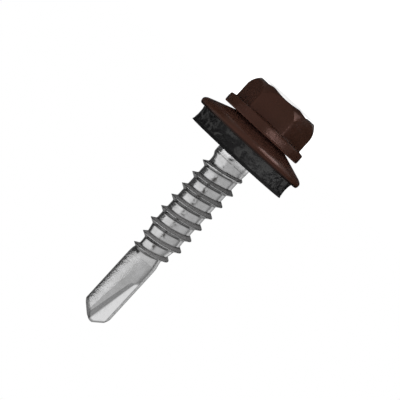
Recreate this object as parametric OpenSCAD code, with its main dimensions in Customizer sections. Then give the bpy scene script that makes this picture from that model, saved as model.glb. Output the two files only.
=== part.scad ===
// Self drilling roofing screw with a painted hexagon flange head and a bonded sealing washer.
// It stands on its head: z = 0 is the head's top, and +Z runs along the shank to the drill point.
// +X passes through a corner of the hexagon. All sizes are in millimetres.

/* [Hexagon head] */
// Across the flats of the hexagon
hex_flats = 8; // [7:0.1:9]
// Height of the hexagon above the top edge of the flange
hex_h = 3.46; // [2.8:0.02:5]
// How far each upright corner of the hexagon is blunted
corner_cut = 0.05; // [0.02:0.01:0.15]
// Height over which the hexagon's corners are rounded off at the top
dome_h = 1.68; // [1.2:0.02:1.8]
// Radius of that rounding
dome_r = 2.1; // [1.9:0.1:2.6]
// Depth of the dips in the top edge between two corners
dip_depth = 0.17; // [0.05:0.01:0.3]
// Width of each dip, measured across the top
dip_w = 4; // [3:0.1:4.6]
// Diameter of the shallow recess in the top
recess_d = 5.6; // [5.2:0.1:6.2]
// Depth of that recess
recess_depth = 0.35; // [0.32:0.01:0.6]

/* [Flange] */
// Diameter of the flange
flange_d = 10.3; // [9.8:0.1:12]
// Thickness of the flange at its rim
flange_t = 1.04; // [0.8:0.02:1.6]
// Slope of the flange's top face, rising towards the hexagon
flange_slope = 9; // [4:1:14]
// Rounding of the rim's edge next to the hexagon
flange_top_r = 0.16; // [0.05:0.01:0.3]
// Rounding of the rim's edge next to the washer
flange_base_r = 0.34; // [0.1:0.02:0.45]

/* [Metal washer] */
// Outer diameter of the metal washer
washer_d = 14.1; // [13:0.1:16]
// Thickness of its sheet
washer_t = 0.85; // [0.6:0.05:1.1]
// Diameter of the flat middle that bears on the flange
washer_flat_d = 6.8; // [6:0.1:8]
// Slope of its conical skirt
washer_slope = 19; // [10:1:25]
// Rounding of the rim's edge on the head's side
washer_top_r = 0.25; // [0.1:0.01:0.3]
// Rounding of the rim's edge on the seal's side
washer_base_r = 0.3; // [0.1:0.01:0.35]
// Gap between the neck and the hole in the metal washer, on each side
washer_gap = 0.08; // [0.04:0.01:0.1]

/* [Rubber seal] */
// Diameter of the seal where it meets the metal washer
seal_d = 12.7; // [12:0.1:13]
// Diameter of the lip at the seal's bearing face
seal_lip_d = 12.64; // [12:0.02:13]
// How far the seal's side is drawn in between those two
seal_waist = 0.14; // [0:0.02:0.3]
// Height of the seal from the metal washer's skirt, at its outside, to the bearing face
seal_h = 1.98; // [1.4:0.02:2.4]
// Gap between the neck and the hole in the seal, on each side
seal_gap = 0.1; // [0.05:0.01:0.2]
// Width of the bevel round the hole at the bearing face
seal_bevel = 0.26; // [0.2:0.01:0.5]

/* [Neck and thread] */
// Diameter of the plain neck under the head
neck_d = 4.32; // [4.2:0.02:4.6]
// Length of the neck from the flange's bearing face
neck_l = 4.58; // [4.2:0.02:6]
// Length of the shoulder that narrows from the neck to the thread's core
shoulder_l = 0.97; // [0.5:0.01:1.4]
// Diameter of the thread's core
core_d = 3.94; // [3.6:0.02:4.1]
// Outer diameter of the thread
thread_d = 5.06; // [4.6:0.02:5.6]
// Pitch of the thread
thread_pitch = 1.66; // [1.4:0.02:2]
// Angle between the thread's flanks
thread_angle = 60; // [45:1:70]
// Width of the thread's blunt crest
crest_w = 0.06; // [0.04:0.01:0.12]
// Distance from the end of the neck to where the thread begins
thread_start = 0.46; // [0.3:0.02:1]
// Length of thread over which it grows to its full height, measured along the shank
thread_run_in = 1; // [0.6:0.05:1.6]
// Direction in which the thread begins, turned from +X
thread_turn = 59; // [0:1:359]
// Length of the thread along the shank
thread_l = 13.5; // [10:0.1:16]
// Length of the tapered end, where the core narrows and the crest drops
taper_l = 3.6; // [2.5:0.1:4.5]
// Length of thread over which it dies away at its end
thread_run_out = 0.7; // [0.4:0.05:1.2]
// Diameter of the waist between the thread and the drill
waist_d = 3.06; // [2.9:0.02:3.3]
// Distance of the waist back from the end of the thread
waist_back = 0.8; // [0.5:0.05:1.2]
// Share of its height that the thread keeps on the tapered end
taper_share = 0.95; // [0.6:0.05:1]

/* [Drill point] */
// Distance from the end of the thread to where the drill has its full diameter
drill_start = 0.15; // [0.1:0.01:0.4]
// Diameter of the drill
drill_d = 3.58; // [3.36:0.02:3.8]
// Length of the drill, from the end of the thread to the tip
drill_l = 9; // [8:0.1:11]
// Angle between the two cutting lips
point_angle = 110; // [95:1:130]
// Relief of the two faces behind the lips
lip_relief = 38; // [20:1:42]
// Distance of each cutting face from the drill's axis
web_t = 0.16; // [0.1:0.01:0.3]
// Length of each flute, from the tip
flute_l = 6.62; // [5.5:0.02:7.2]
// Distance along the lip from the axis to the bottom of the flute, at the tip
flute_root = 0.14; // [0.1:0.01:0.4]
// Angle at which the flute's bottom runs outwards, measured from the axis
flute_slope = 11; // [8:0.5:14]
// Angle of the flute's end, measured from the axis
flute_end = 50; // [35:1:65]
// Radius of the curve between the flute's bottom and its end
flute_end_r = 0.8; // [0.4:0.05:1.2]
// Distance from the axis to the flat that is pressed into the heel of each flute, at the tip
heel_r = 1.34; // [1.2:0.01:1.5]
// Length of that flat, from the tip
heel_l = 8.4; // [7:0.1:8.8]
// Direction that the flat faces, turned from the lip
heel_turn = 46; // [40:1:52]
// Direction of the cutting lips, turned from +X
drill_turn = 25; // [0:1:179]

/* [Hidden] */
$fn = 96;

// Bare overlap by which solids that are one piece run into each other
sunk = 0.2;
// Step by which a faceted surface ends inside the round one that carries on from it
tuck = 0.015;
// Columns of facets round the thread
columns = 48;

paint_colour = "#3d2822";
zinc_colour = "#b9bbbd";
rubber_colour = "#2b2d2e";

// Heights along the axis, from the head's top
flange_z = hex_h;
bearing_z = hex_h + flange_t;
neck_z = bearing_z + neck_l;
shoulder_z = neck_z + shoulder_l;
thread_z0 = neck_z + thread_start;
thread_z1 = thread_z0 + thread_l;
taper_z = thread_z1 - taper_l;
waist_z = thread_z1 - waist_back;
drill_z = thread_z1 + drill_start;
tip_z = thread_z1 + drill_l;

hex_corner_r = hex_flats / 2 / cos(30) - corner_cut;
thread_h = (thread_d - core_d) / 2;
foot_w = crest_w / 2 + thread_h * tan(thread_angle / 2);

// The washer's two faces: heights of the skirt's top and underside at a radius
skirt_rise = tan(washer_slope);
skirt_t = washer_t / cos(washer_slope);
function skirt_top(r) = bearing_z + (r - washer_flat_d / 2) * skirt_rise;
function skirt_base(r) = skirt_top(r) + skirt_t;
inner_bend_r = washer_flat_d / 2 - (skirt_t - washer_t) / skirt_rise;
seal_z = skirt_base(seal_d / 2) + seal_h;

function clamp01(t) = min(1, max(0, t));
function ramp(t) = clamp01(t) * clamp01(t) * (3 - 2 * clamp01(t));
function mix(a, b, t) = a + (b - a) * t;
function unit(v) = v / norm(v);

// Points of the arc that rounds the corner b between the points a and c with the radius r
function corner(a, b, c, r, steps = 6) =
    let (u = unit(a - b), v = unit(c - b), half = acos(u * v) / 2)
    let (centre = b + unit(u + v) * r / sin(half))
    let (from = b + u * r / tan(half) - centre, to = b + v * r / tan(half) - centre)
    let (sweep = 180 - 2 * half)
    [for (i = [0:steps])
        centre + (from * sin(sweep * (1 - i / steps)) + to * sin(sweep * i / steps)) / sin(sweep)];

// Hexagon with blunted corners, domed at the top, with a dip between corners and a round recess
module hexagon_body() {
    dip_r = (pow(dip_w / 2, 2) + pow(dip_depth, 2)) / 2 / dip_depth;
    difference() {
        intersection() {
            cylinder(r = hex_flats / 2 / cos(30), h = flange_z + sunk, $fn = 6);
            rotate_extrude() dome_profile();
        }
        translate([0, 0, -sunk])
            cylinder(r1 = recess_d / 2 + sunk, r2 = recess_d / 2 - recess_depth, h = sunk + recess_depth);
        for (a = [30:60:330])
            rotate([0, 0, a])
                translate([recess_d / 2 - 2 * recess_depth, 0, dip_depth - dip_r])
                    rotate([0, 90, 0])
                        cylinder(r = dip_r, h = hex_flats);
    }
}

// Half section of the round form that the hexagon is trimmed to
module dome_profile() {
    centre = [hex_corner_r - dome_r, dome_h];
    top_angle = asin(dome_h / dome_r);
    steps = 9;
    polygon(concat(
        [[0, 0]],
        [for (i = [0:steps])
            let (a = top_angle * (1 - i / steps))
            centre + dome_r * [cos(a), -sin(a)]],
        [[hex_corner_r, flange_z + sunk], [0, flange_z + sunk]]));
}

// Flange with a sloping top and a rounded rim
module flange() {
    rim = flange_d / 2;
    rise = tan(flange_slope);
    inner = [hex_flats / 4, flange_z - (rim - hex_flats / 4) * rise];
    top = [rim, flange_z];
    base = [rim, bearing_z];
    rotate_extrude()
        polygon(concat(
            [[0, bearing_z], [0, inner[1]], inner],
            corner(inner, top, base, flange_top_r),
            corner(top, base, [0, bearing_z], flange_base_r)));
}

// Radius of the shank without its thread: neck, shoulder, core, waist, and out to the drill
function shank_r(z) =
    z < neck_z ? neck_d / 2 - tuck :
    z < shoulder_z ? mix(neck_d / 2 - tuck, core_d / 2, (z - neck_z) / shoulder_l) :
    z < taper_z ? core_d / 2 :
    z < waist_z ? mix(core_d / 2, waist_d / 2, ramp((z - taper_z) / (waist_z - taper_z))) :
    mix(waist_d / 2, drill_d / 2 - tuck, clamp01((z - waist_z) / (drill_z - waist_z)));

// Share of its full height that the thread has where its crest is at z
function thread_share(z) =
    clamp01((z - thread_z0) / thread_run_in)
    * mix(1, taper_share, ramp((z - taper_z) / (taper_l / 4)))
    * clamp01((thread_z1 - z) / thread_run_out);

// The thread's rows are parallel to its crest, so the crest is a clean edge.
// A block of rows at each end turns them from the slope of the thread to a flat ring.
turns = ceil((thread_z1 - thread_z0) / thread_pitch);
seam_z = thread_z1 - turns * thread_pitch;
seam_turn = thread_turn + 360 * (seam_z - thread_z0) / thread_pitch;
row_z = [0, foot_w - crest_w / 2, foot_w + crest_w / 2, 2 * foot_w];
rows = len(row_z);
last = rows * turns;
function offset_z(i) = thread_pitch * floor(i / rows) + row_z[i % rows];
function main_z(i, t) = seam_z - foot_w + offset_z(i) + thread_pitch * t;

// A point of the shank at height z, t turns on from the seam. crest is 1 on the thread's crest.
function shank_point(z, t, crest = 0, crest_z = 0) =
    let (r = shank_r(z) + crest * thread_h * thread_share(crest_z))
    [r * cos(seam_turn + 360 * t), r * sin(seam_turn + 360 * t), z];
function main_point(i, j) =
    let (t = j / columns, z = main_z(i, t), k = i % rows)
    shank_point(z, t, (k == 1 || k == 2) ? 1 : 0, z + (k == 1 ? 1 : -1) * crest_w / 2);

main_points = [for (i = [0:last]) for (j = [0:columns - 1]) main_point(i, j)];
tail_points = [for (k = [1:rows]) main_point(last - rows + k, columns)];
start_points = [for (q = [0:rows - 1]) for (j = [1:columns - 1])
    shank_point(main_z(0, 0) + offset_z(q) * j / columns, j / columns)];
end_z = main_z(last, 1);
end_points = [for (q = [1:rows]) for (j = [1:columns - 1])
    let (t = j / columns)
    shank_point(mix(main_z(last, t), end_z, offset_z(q) / thread_pitch), t)];

tail_at = len(main_points);
start_at = tail_at + len(tail_points);
end_at = start_at + len(start_points);

// Numbers of the points in the three blocks, where column "columns" is the seam again
function main_id(i, j) =
    j < columns ? i * columns + j :
    i + rows <= last ? (i + rows) * columns :
    tail_at + i + rows - last - 1;
function start_id(q, j) =
    q == rows ? main_id(0, j) :
    j == 0 ? main_id(0, 0) :
    j == columns ? main_id(q, 0) :
    start_at + q * (columns - 1) + j - 1;
function end_id(q, j) =
    q == 0 ? main_id(last, j) :
    j == 0 ? main_id(last - rows + q, columns) :
    j == columns ? main_id(last, columns) :
    end_at + (q - 1) * (columns - 1) + j - 1;

// The triangles of one four sided cell, less any that has no area
function cell(a, b, c, d) = [
    if (a != b && b != c && c != a) [a, c, b],
    if (a != c && c != d && d != a) [a, d, c]];

// Threaded part of the shank, as one closed surface
module threaded_shank() {
    faces = concat(
        [for (i = [0:last - 1]) for (j = [0:columns - 1])
            each cell(main_id(i, j), main_id(i, j + 1), main_id(i + 1, j + 1), main_id(i + 1, j))],
        [for (q = [0:rows - 1]) for (j = [0:columns - 1])
            each cell(start_id(q, j), start_id(q, j + 1), start_id(q + 1, j + 1), start_id(q + 1, j))],
        [for (q = [0:rows - 1]) for (j = [0:columns - 1])
            each cell(end_id(q, j), end_id(q, j + 1), end_id(q + 1, j + 1), end_id(q + 1, j))],
        [[for (j = [0:columns - 1]) start_id(0, j)]],
        [[for (j = [columns - 1:-1:0]) end_id(rows, j)]]);
    polyhedron(concat(main_points, tail_points, start_points, end_points), faces, convexity = 10);
}

// Drill with two flutes and a roof shaped point, its first lip along +X
module drill() {
    difference() {
        intersection() {
            translate([0, 0, drill_z])
                cylinder(d = drill_d, h = tip_z - drill_z);
            drill_roof();
        }
        for (a = [0, 180])
            rotate([0, 0, a]) {
                flute();
                heel_flat();
            }
    }
}

// Room that a tool which cuts the drill takes beside it
reach = drill_d;

// The two slopes of the point, each of which falls from the tip along its lip and behind it
module drill_roof() {
    lip_slope = 1 / tan(point_angle / 2);
    relief_slope = tan(lip_relief);
    drop = reach * norm([lip_slope, relief_slope]);
    rotate([0, 0, atan2(-relief_slope, lip_slope)])
        rotate([90, 0, 0])
            linear_extrude(2 * reach, center = true)
                polygon([
                    [0, tip_z],
                    [-reach, tip_z - drop],
                    [-reach, drill_z - sunk],
                    [reach, drill_z - sunk],
                    [reach, tip_z - drop]]);
}

// Room for one flute: its bottom slopes outwards from the tip and curves up into its end
module flute() {
    slope = tan(flute_slope);
    end_slope = tan(flute_end);
    depth = (flute_root + end_slope * flute_l - drill_d / 2) / (end_slope - slope);
    start = [flute_root - slope * reach, tip_z + reach];
    bend = [flute_root + slope * depth, tip_z - depth];
    end = bend + [reach, -reach / end_slope];
    translate([0, web_t + reach, 0])
        rotate([90, 0, 0])
            linear_extrude(reach)
                polygon(concat([start], corner(start, bend, end, flute_end_r), [end, [end[0], start[1]]]));
}

// Room over the flat beside one flute, which runs out on the drill's side
module heel_flat() {
    tilt = atan2(drill_d / 2 - heel_r, heel_l);
    rotate([0, 0, heel_turn])
        translate([heel_r, -reach, tip_z])
            rotate([0, -tilt, 0])
                translate([0, 0, -heel_l - reach])
                    cube([reach, 2 * reach, heel_l + 2 * reach]);
}

module painted_head() {
    hexagon_body();
    flange();
}

module zinc_shank() {
    translate([0, 0, bearing_z - sunk])
        cylinder(d = neck_d, h = neck_l + sunk);
    threaded_shank();
    rotate([0, 0, drill_turn]) drill();
}

// The screw is forged and rolled from one blank, then painted on the head alone
module screw() {
    color(paint_colour) painted_head();
    color(zinc_colour) zinc_shank();
}

module metal_washer() {
    bore = neck_d / 2 + washer_gap;
    rim = washer_d / 2;
    bend = [washer_flat_d / 2, bearing_z];
    top = [rim, skirt_top(rim)];
    base = [rim, skirt_base(rim)];
    inner_bend = [inner_bend_r, bearing_z + washer_t];
    color(paint_colour)
        rotate_extrude()
            polygon(concat(
                [[bore, bearing_z], bend],
                corner(bend, top, base, washer_top_r),
                corner(top, base, inner_bend, washer_base_r),
                [inner_bend, [bore, bearing_z + washer_t]]));
}

// The seal is moulded on to the washer's underside and drawn in round its side
module rubber_seal() {
    bore = neck_d / 2 + seal_gap;
    top_z = skirt_base(seal_d / 2);
    color(rubber_colour)
        rotate_extrude()
            polygon(concat(
                [[bore, bearing_z + washer_t], [inner_bend_r, bearing_z + washer_t]],
                [for (i = [0:10])
                    let (s = i / 10)
                    [mix(seal_d, seal_lip_d, s) / 2 - seal_waist * 4 * s * (1 - s),
                     mix(top_z, seal_z, s)]],
                [[bore + seal_bevel, seal_z], [bore, seal_z - seal_bevel]]));
}

screw();
metal_washer();
rubber_seal();
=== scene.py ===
import math

import bpy
import numpy as np
from mathutils import Matrix, Vector


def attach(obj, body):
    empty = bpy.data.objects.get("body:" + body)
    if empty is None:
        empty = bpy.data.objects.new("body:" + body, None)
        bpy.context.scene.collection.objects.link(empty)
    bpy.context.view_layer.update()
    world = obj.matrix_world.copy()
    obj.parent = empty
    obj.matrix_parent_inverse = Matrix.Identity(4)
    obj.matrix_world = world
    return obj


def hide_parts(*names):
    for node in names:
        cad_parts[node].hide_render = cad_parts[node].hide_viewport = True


# Self drilling roofing screw. Forms are worked out in millimetres and put into the meshes in metres.
# The screw stands on its head: z = 0 is the head's top, and z grows towards the drill point.
# Angles in the values are in degrees, unless a note says radians.

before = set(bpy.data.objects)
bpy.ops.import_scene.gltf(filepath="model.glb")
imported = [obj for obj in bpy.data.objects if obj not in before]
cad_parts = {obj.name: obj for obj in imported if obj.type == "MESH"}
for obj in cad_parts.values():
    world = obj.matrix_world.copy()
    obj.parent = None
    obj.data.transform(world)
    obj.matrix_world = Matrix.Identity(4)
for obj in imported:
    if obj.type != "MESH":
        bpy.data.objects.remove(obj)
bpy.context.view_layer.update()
print("frame loaded with", sorted(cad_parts))

millimetre = 0.001  # in metres
frontTurn = math.radians(265.4)  # direction, turned from +X, of the side that faces the camera


# Small tools for shapes

def smoothStep(t):  # from 0 to 1, with a soft start and a soft end
    t = np.clip(t, 0, 1)
    return t * t * (3 - 2 * t)


def ramp(value, start, length):  # the same, from a start and over a length
    return smoothStep((value - start) / length)


def softMax(a, b, width):  # the larger of two values, rounded where they meet
    return 0.5 * (a + b + np.sqrt((a - b) ** 2 + width ** 2))


def softMin(a, b, width):
    return -softMax(-a, -b, width)


def turned(radius, angle, z):  # round coordinates to a point
    return np.stack(np.broadcast_arrays(radius * np.cos(angle), radius * np.sin(angle), z), axis=-1)


def roundedPath(corners, cuts, steps):
    # Straight lines between corners; each corner is swapped for a curve that leaves the line one
    # cut before it and joins the next line one cut after it, or just short of the middle of a line
    # that is too short for that. corners has the shape (corner, path, 2).
    rows = [corners[0]]
    curve = np.linspace(0, 1, steps)[:, None, None]
    for before, here, after, cut in zip(corners[:-2], corners[1:-1], corners[2:], cuts[1:-1]):
        if cut == 0:
            rows.append(here)
            continue
        ends = []
        for other in (before, after):
            span = np.linalg.norm(other - here, axis=-1, keepdims=True)
            ends.append(here + (other - here) * np.minimum(cut / np.maximum(span, 1e-9), 0.47))
        rows.extend((1 - curve) ** 2 * ends[0] + 2 * curve * (1 - curve) * here + curve ** 2 * ends[1])
    rows.append(corners[-1])
    return np.array(rows)


def fillRows(path, gap):
    # Adds rows on the straight between two rows until no step is longer than the gap
    steps = np.linalg.norm(np.diff(path, axis=0), axis=-1).max(axis=-1)
    counts = np.maximum(1, np.ceil(steps / gap)).astype(int)
    place = np.concatenate([k + np.arange(c) / c for k, c in enumerate(counts)] + [[len(path) - 1]])
    low = np.minimum(place.astype(int), len(path) - 2)
    part = (place - low)[:, None, None]
    return path[low] * (1 - part) + path[low + 1] * part


def gridFaces(ids):  # four sided faces between the numbers of neighbouring rows and columns
    return np.stack([ids[:-1, :-1], ids[:-1, 1:], ids[1:, 1:], ids[1:, :-1]], axis=-1).reshape(-1, 4)


def ringIds(rows, columns, first=0, closedRows=False):
    ids = first + np.arange(rows * columns).reshape(rows, columns)
    ids = np.concatenate([ids, ids[:, :1]], axis=1)
    return np.concatenate([ids, ids[:1]], axis=0) if closedRows else ids


def fanFaces(ring, tip):  # triangles from a closed ring of numbers to one point
    tips = np.full(len(ring) - 1, tip)
    return np.stack([ring[:-1], ring[1:], tips, tips], axis=-1)


def closedTube(rings, startTip, endTip):  # rings (row, column, 3) with a point that closes each end
    rows, columns = rings.shape[:2]
    ids = ringIds(rows, columns)
    points = np.concatenate([rings.reshape(-1, 3), [startTip, endTip]])
    fans = [fanFaces(ids[0][::-1], rows * columns), fanFaces(ids[-1], rows * columns + 1)]
    return points, np.concatenate([gridFaces(ids), *fans])


def lathe(path, form):  # a closed outline (row, 2) turned round the axis
    angle = 2 * math.pi * np.arange(form["columns"]) / form["columns"]
    rings = turned(path[:, :1], angle, path[:, 1:])
    rise = wobble(rings, form["unevenness"], form["unevenLength"]) - form["unevenness"]
    rings[..., :2] *= (1 + rise / path[:, :1])[..., None]
    return rings.reshape(-1, 3), gridFaces(ringIds(len(path), form["columns"], closedRows=True))


def wobble(points, size, length):
    # A sum of slanted waves, the same at each run: the slight unevenness of forged and moulded faces
    x, y, z = (points[..., k] * 2 * math.pi / length for k in range(3))
    waves = np.sin(x + 0.7 * y + 1.3) + np.sin(1.3 * y - 0.6 * z + 0.4) + np.sin(1.1 * z + 0.8 * x + 2.1)
    waves += 0.6 * np.sin(2.1 * x - 1.7 * y + 0.9 * z) + 0.5 * np.sin(2.6 * z + 1.9 * y + 0.7)
    return size * waves / 2.4


def addObject(name, data):
    added = bpy.data.objects.new(name, data)
    bpy.context.scene.collection.objects.link(added)
    return added


def makePiece(name, points, faces, body, node, sharpAngle):
    # Puts arrays into a mesh. A face with the same corner twice running becomes a triangle.
    same = faces == np.roll(faces, -1, axis=1)
    quads = faces[~same.any(axis=1)]
    part = same.sum(axis=1) == 1
    triangles = faces[part][~same[part]].reshape(-1, 3)
    halves = np.concatenate([quads[:, [0, 1, 2]], quads[:, [0, 2, 3]], triangles])
    corner = points[halves]
    volume = np.einsum("ij,ij->i", corner[:, 0], np.cross(corner[:, 1], corner[:, 2])).sum()
    if volume < 0:  # inside out
        quads, triangles = quads[:, ::-1], triangles[:, ::-1]
    loops = np.concatenate([quads.ravel(), triangles.ravel()]).astype(np.int32)
    starts = np.concatenate([np.arange(len(quads)) * 4, len(quads) * 4 + np.arange(len(triangles)) * 3])
    mesh = bpy.data.meshes.new(name)
    mesh.vertices.add(len(points))
    mesh.vertices.foreach_set("co", (points * millimetre).astype(np.float32).ravel())
    mesh.loops.add(len(loops))
    mesh.loops.foreach_set("vertex_index", loops)
    mesh.polygons.add(len(starts))
    mesh.polygons.foreach_set("loop_start", starts.astype(np.int32))
    mesh.update(calc_edges=True)
    mesh.validate()
    mesh.polygons.foreach_set("use_smooth", np.ones(len(mesh.polygons), dtype=bool))
    mesh.set_sharp_from_angle(angle=math.radians(sharpAngle))
    piece = addObject(name, mesh)
    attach(piece, body)
    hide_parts(node)
    print("made", name, "with", len(quads) * 2 + len(triangles), "triangles")
    return piece


def addMasks(piece, masks):  # in each mask one number for each point, read by the material
    for name, values in masks.items():
        layer = piece.data.attributes.new(name, "FLOAT", "POINT")
        layer.data.foreach_set("value", values.astype(np.float32))


# The head: hexagon and flange

headForm = {
    "acrossFlats": 8.0,
    "cornerRadius": 4.569,   # of the round bar that blunts the hexagon's corners
    "cornerSoftness": 0.05,
    "domeRadius": 2.1,       # rounding of the corners at the top
    "domeHeight": 1.68,
    "domeRows": 14,
    "topLevel": 0.05,
    "topFall": 0.14,         # how much the top falls from the recess to its rim
    "dipDepth": 0.26,        # dips in the top edge between two corners
    "dipWidth": 4.0,
    "dipSoftness": 0.03,
    "recessRadius": 2.8,
    "recessDepth": 0.35,
    "recessInner": 0.8,      # radius of the first ring on its floor
    "flangeRadius": 5.15,
    "flangeTop": 3.46,
    "flangeSlope": 9,
    "rimWidth": 0.8,
    "rimDrop": 0.08,         # how far the flange's rim reaches past the bearing
    "bearing": 4.5,
    "bearingInner": 2.6,
    "recessCuts": (0.14, 0.1),  # how far from a corner its rounding begins: the recess's floor and edge
    "sideCut": 0.07,         # where the dome meets the side
    "flangeCuts": (0.1, 0.2, 0.22, 0.2),  # the flange's foot, its two outer edges and the bearing
    "curveRows": 7,          # rows in each rounding
    "rowGap": 0.22,
    "columns": 64,           # for each of the six sides
    "crowd": 0.82,           # how strongly columns crowd at the corners
    "unevenness": 0.006,
    "unevenLength": 2.7,
    "unevenFrom": (2.2, 0.8),  # from this radius, and over this much more
    "dustAndFillDepth": 0.06,       # how far dust reaches up from the bearing; its pale colour is also painted light in the flange's shade
    "sharpAngle": 32,
}


def headRings(form):
    # Each column is the outline from the recess over the dome and down the side at one angle. The
    # side's radius is half the flats over the cosine of the angle from the middle of a flat, and
    # the top's height is the higher of the dome and the round dips, which run outwards.
    phase = np.arange(form["columns"]) / form["columns"]
    sector = np.arange(6)[:, None] + phase - form["crowd"] * np.sin(2 * math.pi * phase) / (2 * math.pi)
    angle = np.radians(60) * sector.ravel()
    fromFlat = np.abs(np.mod(angle, np.radians(60)) - np.radians(30))
    halfFlats, corner = form["acrossFlats"] / 2, form["cornerRadius"]
    side = softMin(halfFlats / np.cos(fromFlat), corner, form["cornerSoftness"])
    recess, depth = form["recessRadius"], form["recessDepth"]
    dipRadius = ((form["dipWidth"] / 2) ** 2 + form["dipDepth"] ** 2) / 2 / form["dipDepth"]
    domeRadius, domeHeight = form["domeRadius"], form["domeHeight"]
    domeMiddle = corner - domeRadius
    firstAngle = math.asin(domeHeight / domeRadius)
    lastAngle = np.arccos(np.clip((side - domeMiddle) / domeRadius, -1, 1))
    domeFoot = domeMiddle + domeRadius * math.cos(firstAngle)

    def onTop(radius, height):
        across = radius * np.sin(fromFlat)
        dip = form["dipDepth"] - dipRadius + np.sqrt(dipRadius ** 2 - across ** 2)
        fall = form["topFall"] * ramp(radius, recess, corner - recess)
        return radius, softMax(height, dip, form["dipSoftness"]) + fall + form["topLevel"]

    floorCut, edgeCut = form["recessCuts"]
    outline = [(form["recessInner"], depth, 0), (recess - depth, depth, floorCut)]  # radius, height, cut
    for share in (0, 0.25, 0.5, 0.75):
        outline.append((*onTop(recess * (1 - share) + domeFoot * share, 0), 0 if share else edgeCut))
    for share in np.linspace(0, 1, form["domeRows"]):
        arc = firstAngle * (1 - share) + lastAngle * share
        place = onTop(domeMiddle + domeRadius * np.cos(arc), domeHeight - domeRadius * np.sin(arc))
        outline.append((*place, form["sideCut"] if share == 1 else 0))
    slope = math.tan(math.radians(form["flangeSlope"]))
    rim, top, bearing = form["flangeRadius"], form["flangeTop"], form["bearing"]
    footCut, topCut, rimCut, bearingCut = form["flangeCuts"]
    outline += [
        (side, top - (rim - side) * slope, footCut), (rim, top, topCut),
        (rim, bearing + form["rimDrop"], rimCut), (rim - form["rimWidth"], bearing, bearingCut),
        (form["bearingInner"], bearing, 0)]
    corners = np.array([
        np.stack([side * 0 + radius, side * 0 + height], axis=-1) for radius, height, _ in outline])
    path = fillRows(roundedPath(corners, [cut for *_, cut in outline], form["curveRows"]), form["rowGap"])
    rings = turned(path[..., 0], angle, path[..., 1])
    rise = wobble(rings, form["unevenness"], form["unevenLength"]) - form["unevenness"]
    rise = rise * ramp(path[..., 0], *form["unevenFrom"]) / np.maximum(path[..., 0], 1)
    rings[..., :2] *= (1 + rise)[..., None]
    return rings


headEnds = [0, 0, headForm["recessDepth"]], [0, 0, headForm["bearing"]]
points, faces = closedTube(headRings(headForm), *headEnds)
screwHead = makePiece("screwHead", points, faces, "screw", "screw", headForm["sharpAngle"])
# dust on the bearing face, whose pale colour is also painted light in the shade under the flange
dustAndFillDepth = headForm["dustAndFillDepth"]
addMasks(screwHead, {"dustAndFillLight": ramp(points[:, 2], headForm["bearing"] - dustAndFillDepth, dustAndFillDepth)})


# The shank: neck, rolled thread and waist

shankForm = {
    "radiusAt": [  # height, radius of the shank without its thread
        (4.2, 2.16), (9.03, 2.16), (9.08, 2.13), (9.13, 2.15), (9.36, 2.13), (9.41, 2.10), (9.46, 2.11),
        (9.75, 2.03), (10.0, 1.98), (10.2, 1.97), (19.44, 1.97)],
    "bend": [  # height, how far the round form there lies to the right of the axis
        (8.12, 0.0), (8.32, -0.085), (8.46, -0.11), (9.38, -0.11), (9.73, 0.0), (19.2, 0.0), (20.0, 0.08),
        (21.0, 0.12), (21.8, 0.06), (22.4, 0.0)],
    "neckRows": (4.3, 6.0, 7.5),
    "taperStart": 19.44,
    "waist": (22.24, 1.53),
    "end": (23.19, 1.77),
    "sunk": 0.012,           # how far its end lies under the drill's surface
    "threadStart": 9.54,
    "threadEnd": 23.04,
    "pitch": 1.66,
    "threadHeight": 0.565,
    "threadTurn": 59,        # direction in which it begins
    "runIn": 1.0,
    "runOut": 0.58,
    "taperShare": 0.95,      # how much of its height the thread keeps on the taper
    "taperOver": 0.9,
    "columns": 156,
    "crestUnevenness": 0.014,
    "crestWaves": ((3, 2.1), (7, 5.3)),  # waves in a turn, and how they shift from turn to turn
    # How far the crests lie towards the drill: all of them, and those between two heights
    "level": -0.04,
    "strayFrom": (9.3, 0.6),   # a height, and over which length it begins
    "strayUntil": (22.5, 0.5),
    "frontRise": 0.15,       # how much further on the side in front
    "frontRiseTurn": -25,    # direction of that side, turned from the front
    "sideRise": -0.03,       # the same for the right side
    "firstRise": -0.07,      # for the first turn
    "firstRiseUntil": (10.0, 1.2),
    "lastRise": -0.13,       # for the last turn
    "lastRiseFrom": (21.9, 0.5),
    "firstTurnFrom": (9.5, 0.3),  # between these the crest isn't fully formed
    "firstTurnUntil": (10.6, 0.4),
    "lastSlim": 0.25,        # how much narrower the last turn's flank towards the drill is
    "lastSlimFrom": (22.2, 0.4),
    "lastSlimReach": 0.45,   # how far from the crest
    "flankGrowth": 1.6,      # how much sooner than its height a flank has its full painted shade and light
    "scuffTurn": 4,          # the seam of the rolling dies, where the plating is scuffed
    "scuffWidth": 0.13,      # half of it, in radians
    "scuffRange": (9.7, 21.9),
    "dashTurn": 0.05,        # a slanted dark dash on the collar: radians from that seam to it
    "dashWidth": 0.15,       # half of it, in radians
    "dashHeight": 8.81,
    "dashThickness": 0.12,
    "dashSlant": 0.6,
    "neckLightUntil": (8.6, 0.4),  # painted light: lighter zinc on the neck next to the seal
    "sharpAngle": 50,
}
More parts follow.
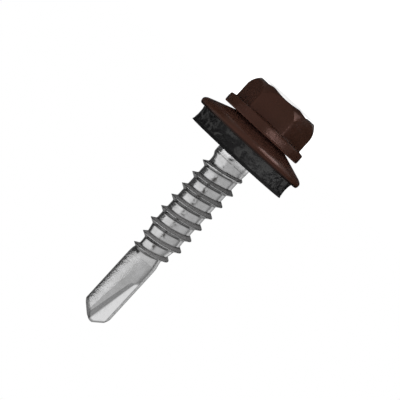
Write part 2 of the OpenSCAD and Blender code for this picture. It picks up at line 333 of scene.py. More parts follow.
# Distance from the crest along the shank; the same where the crest isn't fully formed; share of the
# thread's height; how much it is a flank, with painted shade, and the flank towards the head, with
# painted light; painted shade at the roots
threadRows = np.array([
    (-0.50, -0.50, 0.0, 0.0, 0.0, 0.0), (-0.42, -0.29, 0.004, 0.2, 0.1, 0.4),
    (-0.37, -0.265, 0.03, 0.7, 0.6, 1.0), (-0.32, -0.235, 0.12, 1.0, 1.0, 0.6),
    (-0.24, -0.195, 0.35, 1.0, 1.0, 0.1), (-0.155, -0.15, 0.60, 1.0, 1.0, 0.0),
    (-0.085, -0.115, 0.80, 0.8, 0.8, 0.0), (-0.045, -0.09, 0.925, 0.3, 0.3, 0.0),
    (-0.018, -0.05, 0.985, 0.0, 0.0, 0.0), (0.018, 0.05, 0.985, 0.0, 0.0, 0.0),
    (0.045, 0.09, 0.925, 0.3, 0.0, 0.0), (0.085, 0.115, 0.80, 0.8, 0.0, 0.0),
    (0.155, 0.15, 0.60, 1.0, 0.0, 0.0), (0.24, 0.20, 0.35, 1.0, 0.0, 0.1),
    (0.32, 0.25, 0.12, 1.0, 0.0, 0.6), (0.37, 0.28, 0.03, 0.7, 0.0, 1.0),
    (0.42, 0.31, 0.004, 0.2, 0.0, 0.4), (0.50, 0.50, 0.0, 0.0, 0.0, 0.0),
    (0.63, 0.63, 0.0, 0.0, 0.0, 0.0), (0.83, 0.83, 0.0, 0.0, 0.0, 0.0),
    (1.03, 1.03, 0.0, 0.0, 0.0, 0.0)])


def coreRadius(z, form):  # radius without the thread: a list of heights, then taper, waist and widening
    start, (waistZ, waist), (endZ, end) = form["taperStart"], form["waist"], form["end"]
    radius = np.interp(z, *np.array(form["radiusAt"]).T)
    radius = np.where(z > start, radius + (waist - radius) * ramp(z, start, waistZ - start), radius)
    rise = np.clip((z - waistZ) / (endZ - waistZ), 0, 1)
    return np.where(z > waistZ, waist + (end - waist) * rise - form["sunk"], radius)


def threadShare(z, form):  # share of the full height where the crest is at z; it ends softly
    runOut = np.clip((form["threadEnd"] - z) / form["runOut"], 0, 1)
    return (np.clip((z - form["threadStart"]) / form["runIn"], 0, 1)
            * (1 + (form["taperShare"] - 1) * ramp(z, form["taperStart"], form["taperOver"]))
            * smoothStep(runOut * 0.5) * 2)


def crestRise(z, turn, form):  # how far the rolled thread strays from an even climb, by height and turn
    along = ramp(z, *form["strayFrom"]) * (1 - ramp(z, *form["strayUntil"]))
    toFront = np.clip(np.cos(turn - math.radians(form["frontRiseTurn"])), 0, 1) ** 2
    rise = form["level"] + form["frontRise"] * toFront + form["sideRise"] * np.sin(turn)
    rise = rise + form["firstRise"] * (1 - ramp(z, *form["firstRiseUntil"]))
    return along * rise + form["lastRise"] * ramp(z, *form["lastRiseFrom"])


def shankSurface(form):
    # The thread's rows climb one pitch in a turn, so its crest lies along a row. At the seam a row
    # meets the one a pitch further on. A fan of rows at each end turns the climb into a flat ring.
    count, columns, pitch = len(threadRows), form["columns"], form["pitch"]
    turns = math.ceil((form["threadEnd"] - form["threadStart"]) / pitch)
    seamZ = form["threadEnd"] - turns * pitch
    seamTurn = math.radians(form["threadTurn"] + 360 * (seamZ - form["threadStart"]) / pitch)
    last = count * turns
    row = np.arange(last + 1)
    fromCrest, firstOffset, height, flankShade, under, rootShade = threadRows[row % count].T[..., None]
    offset = pitch * (row // count) + fromCrest[:, 0] - threadRows[0, 0]

    def surface(z, t, share, crestZ):
        angle = seamTurn + 2 * math.pi * t
        waves = sum(np.sin(around * angle + shift * crestZ) for around, shift in form["crestWaves"])
        share = share * form["threadHeight"] * threadShare(crestZ, form)
        radius = coreRadius(z, form) + share * (1 + form["crestUnevenness"] * waves)
        points = turned(radius, angle, z + crestRise(z, frontTurn - angle, form))
        bend = np.interp(points[..., 2], *np.array(form["bend"]).T)
        points[..., 0] += bend * math.sin(frontTurn)
        points[..., 1] -= bend * math.cos(frontTurn)
        return points

    t = np.arange(columns + 1) / columns
    crestZ = seamZ + pitch * (row[:, None] // count + t)
    firstTurn = ramp(crestZ, *form["firstTurnFrom"]) * (1 - ramp(crestZ, *form["firstTurnUntil"]))
    slimSide = (fromCrest > 0) * (fromCrest < form["lastSlimReach"])
    lastTurn = form["lastSlim"] * ramp(crestZ, *form["lastSlimFrom"]) * slimSide
    mainZ = seamZ + threadRows[0, 0] + offset[:, None] + pitch * t
    mainZ = mainZ + firstTurn * (firstOffset - fromCrest) - lastTurn * fromCrest
    main = surface(mainZ, t, height, crestZ)
    tail = main[last - count + 1:, -1]
    startZ, endZ = mainZ[0, 0], mainZ[last, -1]
    share = offset[1:count + 1, None] / pitch
    inner = t[1:-1]
    start = surface(startZ + offset[:count, None] * inner, inner, 0, 0)
    end = surface(mainZ[last, 1:-1] * (1 - share) + endZ * share, inner, 0, 0)
    neckZ = np.array(form["neckRows"])
    neck = surface(neckZ[:, None], t[:-1], 0, 0)

    parts = [part.reshape(-1, 3) for part in (main[:, :-1], tail, start, end, neck)]
    first = np.cumsum([0] + [len(part) for part in parts])
    mainIds = np.arange((last + 1) * columns).reshape(last + 1, columns)
    seam = np.concatenate([mainIds[count:, 0], first[1] + np.arange(count)])
    mainIds = np.concatenate([mainIds, seam[:, None]], axis=1)
    fanIds = np.arange(count * (columns - 1)).reshape(count, -1)
    startIds = np.concatenate([
        np.full((count, 1), mainIds[0, 0]), first[2] + fanIds, mainIds[:count, :1]], axis=1)
    startIds = np.concatenate([startIds, mainIds[:1]])
    endIds = np.concatenate([
        mainIds[last - count + 1:, -1:], first[3] + fanIds, np.full((count, 1), mainIds[last, -1])], axis=1)
    endIds = np.concatenate([mainIds[last:], endIds])
    neckIds = np.concatenate([ringIds(len(neckZ), columns, first[4]), startIds[:1]])
    faces = [gridFaces(ids) for ids in (mainIds, startIds, endIds, neckIds)]
    faces += [fanFaces(neckIds[0][::-1], first[5]), fanFaces(endIds[-1], first[5] + 1)]
    tips = np.array([[0, 0, neckZ[0]], [0, 0, endZ]])

    grown = np.minimum(1, threadShare(crestZ, form) * form["flankGrowth"])
    rest = np.zeros(first[5] - first[2] + len(tips))
    masks = {"flankShade": flankShade * grown, "under": under * grown, "firstTurnLift": under * grown * firstTurn,
             "rootShade": rootShade * grown}
    for name, full in masks.items():
        masks[name] = np.concatenate([full[:, :-1].ravel(), full[last - count + 1:, -1], rest])
    return np.concatenate([*parts, tips]), np.concatenate(faces), masks


def wearAndNeckLightMasks(points, masks, form):  # scuffs along a line, a dark dash, and painted light on the neck next to the seal
    away = np.arctan2(points[:, 1], points[:, 0]) - frontTurn - math.radians(form["scuffTurn"])
    away = np.mod(away + math.pi, 2 * math.pi) - math.pi
    height = points[:, 2]
    low, high = form["scuffRange"]
    scuff = np.exp(-(away / form["scuffWidth"]) ** 2) * (height > low) * (height < high)
    dashAway = (away - form["dashTurn"]) / form["dashWidth"]
    dashRise = (height - form["dashHeight"] - form["dashSlant"] * away) / form["dashThickness"]
    return {
        "scuff": scuff * (1 - masks["flankShade"]) * (1 - masks["rootShade"]),
        "dash": np.exp(-dashAway ** 2 - dashRise ** 2),
        "neckLight": 1 - ramp(height, *form["neckLightUntil"])}


points, faces, masks = shankSurface(shankForm)
screwShank = makePiece("screwShank", points, faces, "screw", "screw", shankForm["sharpAngle"])
addMasks(screwShank, masks | wearAndNeckLightMasks(points, masks, shankForm))


# The drill: forged point with two flutes

drillForm = {
    "tip": 32.04,
    "pointAngle": 110,
    "blunt": 0.19,           # how far the two planes' ridge is cut off
    "bluntSoftness": 0.06,
    "lipRelief": 38,
    "lipTurn": 203.2,        # direction of the lip on the side in front
    "web": 0.16,             # distance of the cutting face from the axis, at the lip
    "webLean": 10,           # angle by which that face comes forward towards the flute's bottom
    "radiusAt": [  # height, radius of the round bar
        (21.9, 1.50), (22.24, 1.532), (22.4, 1.56), (22.9, 1.70), (23.2, 1.765), (23.5, 1.785), (24.0, 1.79)],
    "fullRadius": 1.79,
    "barSoftness": 0.02,
    "fluteLength": 6.62,
    "fluteRoot": 0.14,       # distance of the flute's bottom from the axis, at the tip
    "fluteSlope": 11,
    "fluteEnd": 50,          # slope by which the flute runs out
    "fluteCurve": 0.1,       # softness between those two slopes
    "heelRadius": 1.34,      # distance of the heel's flat from the axis, at the tip
    "heelLength": 8.4,
    "heelTurn": 46,          # direction of that flat, from the lip
    "rootSoftness": 0.10,
    "kneeSoftness": 0.05,
    "leastReach": 0.03,      # least distance between two edges
    "leastTurn": 0.1,        # least angle between knee and heel, in radians
    "bottomShade": 0.30,      # how much painted shade the flute's bottom has, next to the point's ground faces
    "tipDarkRows": (7, 3),      # rows before the tip where the side turns darker, and over how many
    "faceColumns": 13,       # on the cutting face, and on the flute's bottom
    "heelColumns": 15,
    "landColumns": 35,
    "rows": 170,
    "tableRows": 400,        # even heights at which the sections are worked out
    "closeSteps": 40,        # steps that find where each column meets the point
    "capRings": (0.97, 0.85, 0.65, 0.45, 0.25, 0.1),  # on the point, as shares of its outline
    "sharpAngle": 30,
}


def drillSection(z, form, lip):
    # One half of the section at each height, by its radius in each direction from the lip: the least
    # of the round bar, the heel's flat and the flute. The flute leaves what is under its cutting face
    # or inside its bottom, so its radius is the larger of those two. The directions are chosen so that
    # columns run along each edge. The other half is the same, turned by 180 degrees.
    far, tiny = 9, 1e-3  # a radius past everything, and the least divisor
    web, least = form["web"], form["leastReach"]
    full = np.interp(z, *np.array(form["radiusAt"]).T)
    below = form["tip"] - z
    slope, endSlope, lean = (
        math.tan(math.radians(form[key])) for key in ("fluteSlope", "fluteEnd", "webLean"))
    bottom = softMax(form["fluteRoot"] + slope * below,
                     form["fullRadius"] + endSlope * (below - form["fluteLength"]), form["fluteCurve"])
    heel = form["heelRadius"] + (form["fullRadius"] - form["heelRadius"]) * below / form["heelLength"]
    turn = math.radians(form["heelTurn"])
    lipReach = np.sqrt(full ** 2 - web ** 2)
    rootReach = np.minimum(bottom, lipReach - least)
    rootSide = web + (lipReach - rootReach) * lean
    onFlat = (heel - rootReach * math.cos(turn)) / math.sin(turn)
    onBar = np.sqrt(full ** 2 - rootReach ** 2)
    knee = np.maximum(np.minimum(onFlat, onBar), rootSide + least)
    kneeAngle = np.arctan2(knee, rootReach)
    heelAngle = turn + np.arccos(np.clip(heel / full, -1, 1))
    heelAngle = np.maximum(heelAngle, kneeAngle + form["leastTurn"])
    lipAngle = np.arcsin(web / full)
    face, even, land = (np.linspace(0, 1, form[key] + 1)[:-1, None]
                        for key in ("faceColumns", "heelColumns", "landColumns"))
    ease = smoothStep(face)
    angle = np.concatenate([
        np.arctan2(web * (1 - ease) + rootSide * ease, lipReach * (1 - ease) + rootReach * ease),
        np.arctan2(rootSide * (1 - ease) + knee * ease, rootReach),
        kneeAngle * (1 - even) + heelAngle * even,
        heelAngle * (1 - land) + (lipAngle + math.pi) * land])
    inside = angle < math.pi / 2
    cuttingFace = (web + lipReach * lean) / np.maximum(np.sin(angle) + lean * np.cos(angle), tiny)
    flute = softMax(bottom / np.where(inside, np.cos(angle), tiny), cuttingFace, form["rootSoftness"])
    flat = heel / np.maximum(np.cos(angle - turn), tiny)
    radius = softMin(np.minimum(flat, far), full, form["barSoftness"])
    radius = np.where(inside, softMin(radius, np.minimum(flute, far), form["kneeSoftness"]), radius)
    half = np.stack([radius * np.sin(lip - angle), radius * np.cos(lip - angle)], axis=-1)
    return np.concatenate([half, -half])


def drillRings(form):
    # The sides end where they meet the roof shaped point, two planes through the tip that fall away
    # along the lip and behind it. The sections are worked out at even heights and read between them.
    lip = frontTurn - math.radians(form["lipTurn"])
    heights = np.linspace(form["radiusAt"][0][0], form["tip"], form["tableRows"])
    table = drillSection(heights, form, lip)  # (column, height, 2)
    columns = np.arange(len(table))

    def section(z):
        place = np.clip((z - heights[0]) / (heights[1] - heights[0]), 0, len(heights) - 1.001)
        low = place.astype(int)
        part = (place - low)[..., None]
        return table[columns, low] * (1 - part) + table[columns, low + 1] * part

    lipSlope = 1 / math.tan(math.radians(form["pointAngle"] / 2))
    reliefSlope = math.tan(math.radians(form["lipRelief"]))

    def roof(point):
        along = point[..., 0] * math.sin(lip) + point[..., 1] * math.cos(lip)
        behind = point[..., 1] * math.sin(lip) - point[..., 0] * math.cos(lip)
        planes = form["tip"] + form["blunt"] - np.abs(along * lipSlope - behind * reliefSlope)
        return softMin(planes, form["tip"], form["bluntSoftness"])

    top = np.full(len(columns), form["tip"] - 1.0)  # a first guess
    for _ in range(form["closeSteps"]):  # each step halves the distance to the point
        top = 0.5 * top + 0.5 * roof(section(top))
    share = np.linspace(0, 1, form["rows"])[:, None]
    z = heights[0] + (top - heights[0]) * share
    side = section(z)
    cap = side[-1] * np.array(form["capRings"])[:, None, None]
    flat = np.concatenate([side, cap])
    z = np.concatenate([z, roof(cap)])
    x = flat[..., 0] * math.sin(frontTurn) + flat[..., 1] * math.cos(frontTurn)
    y = flat[..., 1] * math.sin(frontTurn) - flat[..., 0] * math.cos(frontTurn)
    return np.stack([x, y, z], axis=-1)


def drillMasks(rings, form):
    # Painted shade in the flute's bottom and darker faces at the point, painted light on the cutting
    # faces, and the rough land between the flutes. The last two values of each are for the points that
    # close its two ends.
    rows, columns = rings.shape[:2]
    faceCount = form["faceColumns"]
    column = np.mod(np.arange(columns), columns // 2)
    onLand = column >= 2 * faceCount + form["heelColumns"]
    fromRow, overRows = form["tipDarkRows"]
    ground = (np.arange(rows)[:, None] - form["rows"] + fromRow) / overRows
    fluteShadeTipDark = np.clip(ground, (column // faceCount == 1) * form["bottomShade"], 1)
    return {
        "land": np.concatenate([np.tile(onLand, rows), [1, 0]]),
        "face": np.concatenate([np.tile(column < faceCount, rows), [0, 0]]),
        "fluteShadeTipDark": np.concatenate([fluteShadeTipDark.ravel(), [0, 1]])}


rings = drillRings(drillForm)
points, faces = closedTube(rings, [0, 0, drillForm["radiusAt"][0][0]], [0, 0, drillForm["tip"]])
drillPoint = makePiece("drillPoint", points, faces, "screw", "screw", drillForm["sharpAngle"])
addMasks(drillPoint, drillMasks(rings, drillForm))


# The metal washer

washerForm = {
    "bore": 2.24,
    "bend": 3.4,
    "bearing": 4.5,
    "sheet": 0.85,
    "rim": 7.05,
    "slope": 19,
    "edgeLean": 0.16,        # how much further in the rim's edge next to the seal lies
    "seam": (0.4, 0.41),     # heights above the bearing between which the outline is closed, in the bore
    "cuts": (0, 0.08, 0.3, 0.70, 0.36, 0.3, 0.08, 0),  # how far from each corner its rounding begins
    "curveRows": 9,
    "rowGap": 0.25,
    "columns": 288,
    "unevenness": 0.01,
    "unevenLength": 5.1,
    "edgeFrom": (0.46, 0.16),  # painted shade: the dark line on the rim next to the seal, by height above the rim's lower corner
    "edgeRadius": 6.5,
    "dustAndFillNear": (4.2, 1.0),  # dust with painted light in the flange's shade ends at this radius, over this length
    # painted light on the washer's skirt, as if lit from below, ends at this radius, over this length
    "fillLightFar": (6.4, 0.5),
    "dustAndFillShare": 0.78,       # how much of it lies near; the rest is painted light on the skirt
    "sharpAngle": 40,
}


def washerPath(form):
    slope = math.tan(math.radians(form["slope"]))
    thick = form["sheet"] / math.cos(math.radians(form["slope"]))
    bore, bearing, bend, rim = form["bore"], form["bearing"], form["bend"], form["rim"]
    rimTop = bearing + (rim - bend) * slope
    back = bearing + form["sheet"]
    innerBend = bend - (thick - form["sheet"]) / slope
    rimBack = (rim - form["edgeLean"], rimTop + thick - form["edgeLean"] * slope)
    corners = [(bore, bearing + form["seam"][0]), (bore, bearing), (bend, bearing), (rim, rimTop), rimBack,
               (innerBend, back), (bore, back), (bore, bearing + form["seam"][1])]
    path = roundedPath(np.array(corners)[:, None], form["cuts"], form["curveRows"])
    return fillRows(path, form["rowGap"])[:, 0]


def washerMasks(points, form):
    radius, height = np.hypot(points[:, 0], points[:, 1]), points[:, 2]
    slope = math.tan(math.radians(form["slope"]))
    edgeStart, edgeLength = form["edgeFrom"]
    edgeStart += form["bearing"] + (form["rim"] - form["bend"]) * slope
    middle = form["bearing"] + form["seam"][0] + np.maximum(radius - form["bend"], 0) * slope
    # near the flange: dust and painted light in its shade; further out: painted light on the skirt
    near, far = (1 - ramp(radius, *form[key]) for key in ("dustAndFillNear", "fillLightFar"))
    dustAndFillLight = form["dustAndFillShare"] * near + (1 - form["dustAndFillShare"]) * far
    return {
        # painted shade on the rim next to the seal
        "edge": ramp(height, edgeStart, edgeLength) * (radius > form["edgeRadius"]),
        "dustAndFillLight": dustAndFillLight * (height < middle)}


points, faces = lathe(washerPath(washerForm), washerForm)
metalWasher = makePiece(
    "metalWasher", points, faces, "sealing_washer", "metal_washer", washerForm["sharpAngle"])
addMasks(metalWasher, washerMasks(points, washerForm))


# The rubber seal

sealForm = {
    "bore": 2.26,
    "innerBend": 3.2577,
    "top": 5.35,
    "slope": 19,
    "radius": 6.35,
    "lipRadius": 6.36,
    "waist": 0.15,
    "groove": 8.14,          # height of the line above the lip
    "grooveWidth": 0.05,
    "grooveDepth": 0.035,
    "lipFrom": (8.0, 0.06),  # height from which it is smooth, and over which length
    "bottom": 8.3948,
    "bevel": 0.26,
    "seam": (6.5, 6.51),     # heights between which the outline is closed, in the bore
    "sideRows": 49,
    "topCut": 0.02,          # how far from each corner its rounding begins
    "lipCut": 0.03,
    "bevelCut": 0.1,
    "curveRows": 5,
    "rowGap": 0.16,
    "columns": 300,
    "unevenness": 0.012,
    "unevenLength": 1.9,
    "sharpAngle": 40,
}


def sealPath(form):
    bore, top, bottom, bevel = form["bore"], form["top"], form["bottom"], form["bevel"]
    topEdge = top + (form["radius"] - form["innerBend"]) * math.tan(math.radians(form["slope"]))
    share = np.linspace(0, 1, form["sideRows"])
    radius = form["radius"] + (form["lipRadius"] - form["radius"]) * share
    radius -= form["waist"] * 4 * share * (1 - share)
    height = topEdge + (bottom - topEdge) * share
    radius -= form["grooveDepth"] * np.exp(-((height - form["groove"]) / form["grooveWidth"]) ** 2)
    corners = [(bore, form["seam"][0]), (bore, top), (form["innerBend"], top), *zip(radius, height),
               (bore + bevel, bottom), (bore, bottom - bevel), (bore, form["seam"][1])]
    cuts = [0, 0, 0, form["topCut"], *[0] * (form["sideRows"] - 2), form["lipCut"],
            form["bevelCut"], form["bevelCut"], 0]
    path = roundedPath(np.array(corners)[:, None], cuts, form["curveRows"])
    return fillRows(path, form["rowGap"])[:, 0]


points, faces = lathe(sealPath(sealForm), sealForm)
rubberSeal = makePiece(
    "rubberSeal", points, faces, "sealing_washer", "rubber_seal", sealForm["sharpAngle"])
addMasks(rubberSeal, {"lip": ramp(points[:, 2], *sealForm["lipFrom"])})


# Materials

def feed(tree, node, inputs):  # links the sockets among the values and sets the plain ones
    for key, value in inputs.items():
        if isinstance(value, bpy.types.NodeSocket):
            tree.links.new(value, node.inputs[key])
        else:
            node.inputs[key].default_value = value


def addNode(tree, kind, inputs=None, **settings):
    node = tree.nodes.new(kind)
    for key, value in settings.items():
        setattr(node, key, value)
    feed(tree, node, inputs or {})
    return node


def reckon(tree, operation, first, second=0.0):
    return addNode(tree, "ShaderNodeMath", {0: first, 1: second}, operation=operation).outputs[0]


def readMask(tree, name):
    return addNode(tree, "ShaderNodeAttribute", attribute_name=name).outputs["Fac"]


def scaled(tree, value, low, high):  # a mask from 0 to 1 to a value from low to high
    node = addNode(tree, "ShaderNodeMapRange", {"Value": value, "To Min": low, "To Max": high})
    return node.outputs["Result"]


def blend(tree, factor, first, second):
    first, second = (value if isinstance(value, bpy.types.NodeSocket) else (*value, 1)
                     for value in (first, second))
    inputs = {"Factor": factor, 6: first, 7: second}  # 6 and 7 are the two colours
    return addNode(tree, "ShaderNodeMix", inputs, data_type="RGBA").outputs[2]


def blendMasks(tree, colour, look, keys):  # lays a colour over each mask of the same name
    for key in keys:
        colour = blend(tree, readMask(tree, key), colour, look[key])
    return colour


grainInputs = {
    "Coarse Scale": 500, "Fine Scale": 2500, "Fine Share": 0.5, "Low": 0.35, "High": 0.65, "Twist": 0}


def makeGrainGroup():
    # Grain: two sizes of noise on Object coordinates, weighted and stretched to 0..1; the coarse one
    # can be twisted into veins
    group = bpy.data.node_groups.new("grain", "ShaderNodeTree")
    for name, value in grainInputs.items():
        socket = group.interface.new_socket(name, in_out="INPUT", socket_type="NodeSocketFloat")
        socket.default_value = value
    group.interface.new_socket("Mask", in_out="OUTPUT", socket_type="NodeSocketFloat")
    given = addNode(group, "NodeGroupInput").outputs
    place = addNode(group, "ShaderNodeTexCoord").outputs["Object"]
    coarse = addNode(group, "ShaderNodeTexNoise", {
        "Vector": place, "Scale": given["Coarse Scale"], "Detail": 3.0, "Distortion": given["Twist"]})
    fine = addNode(group, "ShaderNodeTexNoise", {
        "Vector": place, "Scale": given["Fine Scale"], "Detail": 2.0})
    inputs = {"Factor": given["Fine Share"], "A": coarse.outputs["Fac"], "B": fine.outputs["Fac"]}
    both = addNode(group, "ShaderNodeMix", inputs, data_type="FLOAT")
    mask = addNode(group, "ShaderNodeMapRange", {
        "Value": both.outputs["Result"], "From Min": given["Low"], "From Max": given["High"]},
        interpolation_type="SMOOTHSTEP")
    done = addNode(group, "NodeGroupOutput")
    group.links.new(mask.outputs["Result"], done.inputs["Mask"])
    return group


grainGroup = makeGrainGroup()


def grain(tree, values):  # values for the group's inputs, the last of which may be left out
    given = dict(zip(grainInputs, (*values, grainInputs["Twist"])))
    return addNode(tree, "ShaderNodeGroup", given, node_tree=grainGroup).outputs["Mask"]


def newMaterial(name):
    material = bpy.data.materials.new(name)
    material.use_nodes = True
    return material, material.node_tree, material.node_tree.nodes["Principled BSDF"]


def bumps(tree, shader, layers, mask=None):
    # Bump nodes in a chain, each from its grain, strength and depth in metres; a mask thins the first
    normal = None
    for values, strength, depth in layers:
        height = grain(tree, values)
        if mask and not normal:
            height = reckon(tree, "MULTIPLY", height, mask)
        inputs = {"Height": height, "Strength": strength, "Distance": depth}
        if normal:
            inputs["Normal"] = normal
        normal = addNode(tree, "ShaderNodeBump", inputs).outputs["Normal"]
    feed(tree, shader, {"Normal": normal})


# In the looks a grain is given as coarse and fine scale, share of the fine one, low and high end, twist

paintLook = {
    "brown": (0.043, 0.0180, 0.0108),
    "brownWarm": (0.049, 0.0196, 0.0127),
    "patches": (260, 900, 0.3, 0.36, 0.64),
    "fleck": (0.066, 0.036, 0.030),
    "flecks": (4200, 9500, 0.6, 0.60, 0.72),
    "fleckShare": 0.45,
    # painted shade on the washer's rim next to the seal
    "edge": (0.007, 0.0035, 0.0028),
    "dustAndFillLight": (0.13, 0.06, 0.046),  # dust between the flange and the washer, also painted light that lifts the shade there and on the skirt
    "specular": 0.2,
    "specularTint": (1.0, 0.62, 0.56, 1),
    "roughness": (0.18, 0.28),
    "gloss": (900, 3000, 0.4, 0.35, 0.65),
    "bumps": [((1500, 4200, 0.35, 0.3, 0.7), 0.6, 0.00003), ((4600, 9500, 0.5, 0.3, 0.7), 0.6, 0.00001)],
}


def makePaint(look):
    material, tree, shader = newMaterial("brownPaint")
    colour = blend(tree, grain(tree, look["patches"]), look["brown"], look["brownWarm"])
    flecks = scaled(tree, grain(tree, look["flecks"]), 0.0, look["fleckShare"])
    colour = blend(tree, flecks, colour, look["fleck"])
    # painted shade on the rim next to the seal; dust and painted light under the flange and on the skirt
    colour = blendMasks(tree, colour, look, ("edge", "dustAndFillLight"))
    gloss = scaled(tree, grain(tree, look["gloss"]), *look["roughness"])
    feed(tree, shader, {"Base Color": colour, "Roughness": gloss, "Specular IOR Level": look["specular"],
                        "Specular Tint": look["specularTint"]})
    bumps(tree, shader, look["bumps"])
    return material


zincLook = {
    "zinc": (0.65, 0.65, 0.655),
    "zincDull": (0.54, 0.54, 0.54),
    "clouds": (700, 2600, 0.4, 0.34, 0.66),
    # painted light on the neck next to the seal
    "neckLight": (0.90, 0.90, 0.905),
    # painted shade on the thread's flanks
    "flankShade": (0.30, 0.30, 0.30),
    "under": (0.34, 0.335, 0.335),     # painted light: the flank towards the head, lighter and less metallic than the other flank
    "underMetal": 0.35,                # how metallic it looks, lower so that it shows lighter
    "firstTurnLift": (0.85, 0.84, 0.84),  # painted light on the same flank in the first turn, in the shade of the washer and seal
    # painted shade in the thread's roots
    "rootShade": (0.12, 0.118, 0.118),
    "scuff": (0.10, 0.095, 0.092),
    "scuffSpots": (1300, 3400, 0.4, 0.45, 0.56),
    "dash": (0.02, 0.02, 0.02),
    "collar": (0.22, 0.215, 0.21),
    "collarLine": 9.15,                # height of the broken line that the rolling left on the collar
    "collarWidth": 0.09,
    "collarBreaks": (900, 3600, 0.6, 0.36, 0.56),
    # painted light on the cutting faces
    "face": (0.70, 0.70, 0.705),
    # painted shade in the flute's bottom; darker faces at the point
    "fluteShadeTipDark": (0.26, 0.26, 0.26),
    "roughness": (0.14, 0.26),
    "drillRoughness": (0.16, 0.28),
    "gloss": (1400, 5000, 0.5, 0.34, 0.66),
    "bumps": [((900, 3600, 0.4, 0.3, 0.7), 0.4, 0.00002), ((5200, 9000, 0.4, 0.3, 0.7), 0.5, 0.00001)],
    "drillBumps": [((2600, 6500, 0.5, 0.3, 0.7), 0.8, 0.00004), ((1200, 4000, 0.4, 0.3, 0.7), 0.2, 0.00001)],
}


def startZinc(look, name, roughness):  # cloudy plated steel, before its masks
    material, tree, shader = newMaterial(name)
    gloss = scaled(tree, grain(tree, look["gloss"]), *look[roughness])
    feed(tree, shader, {"Metallic": 1.0, "Roughness": gloss})
    return material, tree, shader, blend(tree, grain(tree, look["clouds"]), look["zinc"], look["zincDull"])


def makeShankZinc(look):
    material, tree, shader, colour = startZinc(look, "zincSteel", "roughness")
    # painted shade on flanks and roots; painted light on the head side, the first turn and the neck
    colour = blendMasks(tree, colour, look, ("flankShade", "under", "firstTurnLift", "rootShade", "neckLight"))
    scuff = reckon(tree, "MULTIPLY", readMask(tree, "scuff"), grain(tree, look["scuffSpots"]))
    colour = blend(tree, scuff, colour, look["scuff"])
    colour = blendMasks(tree, colour, look, ("dash",))
    place = addNode(tree, "ShaderNodeTexCoord").outputs["Object"]
    height = addNode(tree, "ShaderNodeSeparateXYZ", {"Vector": place}).outputs["Z"]
    away = reckon(tree, "ABSOLUTE", reckon(tree, "SUBTRACT", height, look["collarLine"] * millimetre))
    line = addNode(tree, "ShaderNodeMapRange", {
        "Value": away, "From Max": look["collarWidth"] * millimetre, "To Min": 1.0, "To Max": 0.0})
    line = reckon(tree, "MULTIPLY", line.outputs["Result"], grain(tree, look["collarBreaks"]))
    # less metal on the flank towards the head, for its painted light
    metal = scaled(tree, readMask(tree, "under"), 1.0, look["underMetal"])
    feed(tree, shader, {"Base Color": blend(tree, line, colour, look["collar"]), "Metallic": metal})
    bumps(tree, shader, look["bumps"])
    return material


def makeDrillZinc(look):
    material, tree, shader, colour = startZinc(look, "zincDrill", "drillRoughness")
    # painted light on the cutting faces, painted shade in the flutes' bottom
    feed(tree, shader, {"Base Color": blendMasks(tree, colour, look, ("face", "fluteShadeTipDark"))})
    bumps(tree, shader, look["drillBumps"], readMask(tree, "land"))
    return material


rubberLook = {
    "rubber": (0.0035, 0.0032, 0.0036),
    "rubberPale": (0.056, 0.0555, 0.0545),
    "veins": (1000, 2600, 0.2, 0.46, 0.62, 1.2),
    "paleShare": 0.75,
    "lip": (0.0055, 0.005, 0.0055),
    "lipShare": 0.9,
    "lipBumps": 0.25,        # how much of the bumps is left on the lip
    "specular": 0.2,
    "roughness": (0.45, 0.7),
    "lipRoughness": 0.9,
    "bumps": [((1150, 3200, 0.3, 0.3, 0.7, 0.8), 0.9, 0.00016)],
}


def makeRubber(look):
    material, tree, shader = newMaterial("sealRubber")
    veins, lip = grain(tree, look["veins"]), readMask(tree, "lip")
    colour = blend(tree, scaled(tree, veins, 0.0, look["paleShare"]), look["rubber"], look["rubberPale"])
    colour = blend(tree, scaled(tree, lip, 0.0, look["lipShare"]), colour, look["lip"])
    rough = scaled(tree, veins, *look["roughness"])
    rough = reckon(tree, "MAXIMUM", rough, scaled(tree, lip, 0.0, look["lipRoughness"]))
    feed(tree, shader, {"Base Color": colour, "Roughness": rough, "Specular IOR Level": look["specular"]})
    bumps(tree, shader, look["bumps"], scaled(tree, lip, 1.0, look["lipBumps"]))
    return material


paint = makePaint(paintLook)
rubber = makeRubber(rubberLook)
zinc = makeShankZinc(zincLook)
zincDrill = makeDrillZinc(zincLook)
for piece, material in ((screwHead, paint), (metalWasher, paint), (rubberSeal, rubber),
                        (screwShank, zinc), (drillPoint, zincDrill)):
    piece.data.materials.append(material)
for nodeName, material in (("screw", zinc), ("metal_washer", paint), ("rubber_seal", rubber)):
    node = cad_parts[nodeName]
    node.data.materials.clear()
    node.data.materials.append(material)
print("materials made")


# Floor, light and camera

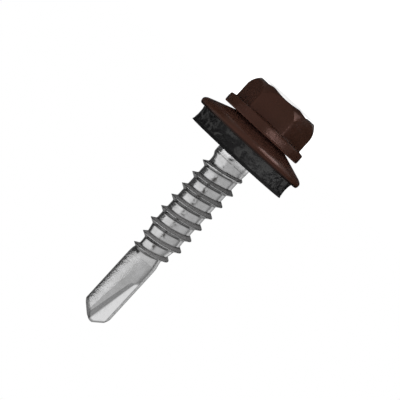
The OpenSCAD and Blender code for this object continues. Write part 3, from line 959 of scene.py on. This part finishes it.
studio = {
    "floorRings": (40, 120, 400),  # radii in millimetres
    "floorColumns": 96,
    "floorColour": (0.92, 0.92, 0.92),
    "floorRoughness": 0.9,
    "floorGlow": 0.85,       # what the floor adds where the camera sees it
    "ambient": 0.86,         # the plain light from all sides
    "cameraPlace": (-10.302, -128.237, 5.040),
    "cameraAim": (-0.216, -0.318, 14.308),
    "cameraRoll": 137.479,
    "cameraReach": (0.005, 5),  # metres
    "sensor": 36,
    "lens": 107.83,
    "cardColumns": 40,
    # Cards: from and to, turned from the front to the right; brightness; radius and height of both edges
    "cards": [
        (-150, -86, 0.06, (150, 0), (150, 42)),
        (-150, -110, 0.04, (150, 42), (150, 220)),
        (-21, 92, 0.60, (150, 0), (150, 42)),
        (-21, 72, 0.60, (150, 42), (150, 220)),
        (72, 84, 0.47, (150, 42), (150, 220)),
        (84, 116, 0.32, (150, 42), (150, 220)),
        (-180, -60, 0.03, (5.6, 0.2), (150, 0.2)),
        (92, 180, 0.03, (5.6, 0.2), (150, 0.2)),
    ],
    # The same behind the screw, only for the zinc: the painted and the rubber pieces reflect no cards there
    "backCards": [
        (-180, -150, 0.30, (150, 0), (150, 220)),
        (92, 114, 0.27, (150, 0), (150, 42)),
        (114, 136, 0.80, (150, 0), (150, 42)),
        (116, 140, 0.58, (150, 42), (150, 49)),
        (116, 140, 1.05, (150, 49), (150, 220)),
        (136, 180, 0.42, (150, 0), (150, 42)),
        (140, 180, 0.35, (150, 42), (150, 220)),
    ],
    # Small bright cards, each for one piece: highlights on the flange's rim and on the hexagon's corner
    "headGlints": [
        (10, 29, 13.0, (14, 3.6), (14, 4.9)),
        (29, 52, 8.0, (14, 3.6), (14, 4.9)),
        (19, 35, 3.4, (4.4, 0.03), (4.9, 0.03)),
        (20, 33, 5.0, (4.9, 0.03), (5.5, 0.03)),
        (20, 33, 9.0, (5.5, 0.03), (18, 0.03)),
    ],
    "washerGlints": [(15, 58, 7.0, (6.4, 0.3), (16, 0.3))],
    "sealGlints": [(10, 74, 6.4, (12, 6.0), (12, 7.8))],
}


def makeFloor(look):
    rows, columns = len(look["floorRings"]), look["floorColumns"]
    angle = 2 * math.pi * np.arange(columns) / columns
    rings = turned(np.array(look["floorRings"])[:, None], angle, np.zeros((rows, 1)))
    points = np.concatenate([rings.reshape(-1, 3), [[0, 0, 0]]]) * millimetre
    ids = ringIds(rows, columns)
    faces = np.concatenate([gridFaces(ids), fanFaces(ids[0][::-1], rows * columns)])
    mesh = bpy.data.meshes.new("floor")
    mesh.from_pydata(points.tolist(), [], [list(dict.fromkeys(face)) for face in faces.tolist()])
    floor = addObject("floor", mesh)
    material, tree, shader = newMaterial("paleFloor")
    path = addNode(tree, "ShaderNodeLightPath").outputs
    glow = reckon(tree, "MULTIPLY", path["Is Camera Ray"], look["floorGlow"])
    feed(tree, shader, {
        "Base Color": (*look["floorColour"], 1), "Roughness": look["floorRoughness"],
        "Specular IOR Level": 0.0, "Emission Color": (1, 1, 1, 1), "Emission Strength": glow})
    mesh.materials.append(material)


def makeWorld(look):
    world = bpy.data.worlds.new("studio")
    bpy.context.scene.world = world
    world.use_nodes = True
    tree = world.node_tree
    path = addNode(tree, "ShaderNodeLightPath").outputs
    seen = reckon(tree, "MAXIMUM", path["Is Camera Ray"], path["Is Glossy Ray"])
    seen = reckon(tree, "MAXIMUM", seen, path["Is Transmission Ray"])
    strength = scaled(tree, seen, look["ambient"], 1.0)
    feed(tree, tree.nodes["Background"], {"Color": (1, 1, 1, 1), "Strength": strength})


def makeCamera(look):
    data = bpy.data.cameras.new("camera")
    data.sensor_width = look["sensor"]
    data.lens = look["lens"]
    data.clip_start, data.clip_end = look["cameraReach"]
    camera = addObject("camera", data)
    place, aim = Vector(look["cameraPlace"]) * millimetre, Vector(look["cameraAim"]) * millimetre
    level = (aim - place).to_track_quat("-Z", "Y").to_matrix().to_4x4()
    roll = Matrix.Rotation(-math.radians(look["cameraRoll"]), 4, "Z")
    camera.matrix_world = Matrix.Translation(place) @ level @ roll
    bpy.context.scene.camera = camera


def addCard(name, turnFrom, turnTo, ends, brightness, receivers, columns):
    # A curved card between two turns; ends holds the radius and the height of its two long edges.
    # Only reflections see it, of the pieces in receivers if there are any.
    turns = frontTurn - np.radians(np.linspace(turnFrom, turnTo, columns))
    rows = np.stack([turned(radius, turns, height) for radius, height in ends])
    ids = np.arange(2 * columns).reshape(2, columns)
    mesh = bpy.data.meshes.new(name)
    mesh.from_pydata((rows.reshape(-1, 3) * millimetre).tolist(), [], gridFaces(ids).tolist())
    card = addObject(name, mesh)
    card.visible_camera = card.visible_diffuse = card.visible_shadow = card.visible_transmission = False
    material, tree, shader = newMaterial(name)
    feed(tree, shader, {"Base Color": (0, 0, 0, 1), "Specular IOR Level": 0.0,
                        "Emission Color": (1, 1, 1, 1), "Emission Strength": brightness})
    mesh.materials.append(material)
    if receivers:
        card.light_linking.receiver_collection = receivers


def makeCards(look):
    for key, pieces in (("cards", ()), ("backCards", (screwShank, drillPoint)), ("headGlints", (screwHead,)),
                        ("washerGlints", (metalWasher,)), ("sealGlints", (rubberSeal,))):
        receivers = bpy.data.collections.new(key) if pieces else None
        for piece in pieces:
            receivers.objects.link(piece)
        for number, (turnFrom, turnTo, brightness, *ends) in enumerate(look[key]):
            addCard(f"{key}{number}", turnFrom, turnTo, ends, brightness, receivers, look["cardColumns"])


makeFloor(studio)
makeWorld(studio)
makeCamera(studio)
makeCards(studio)
bpy.context.scene.view_settings.view_transform = "Standard"
print("floor, light and camera made")
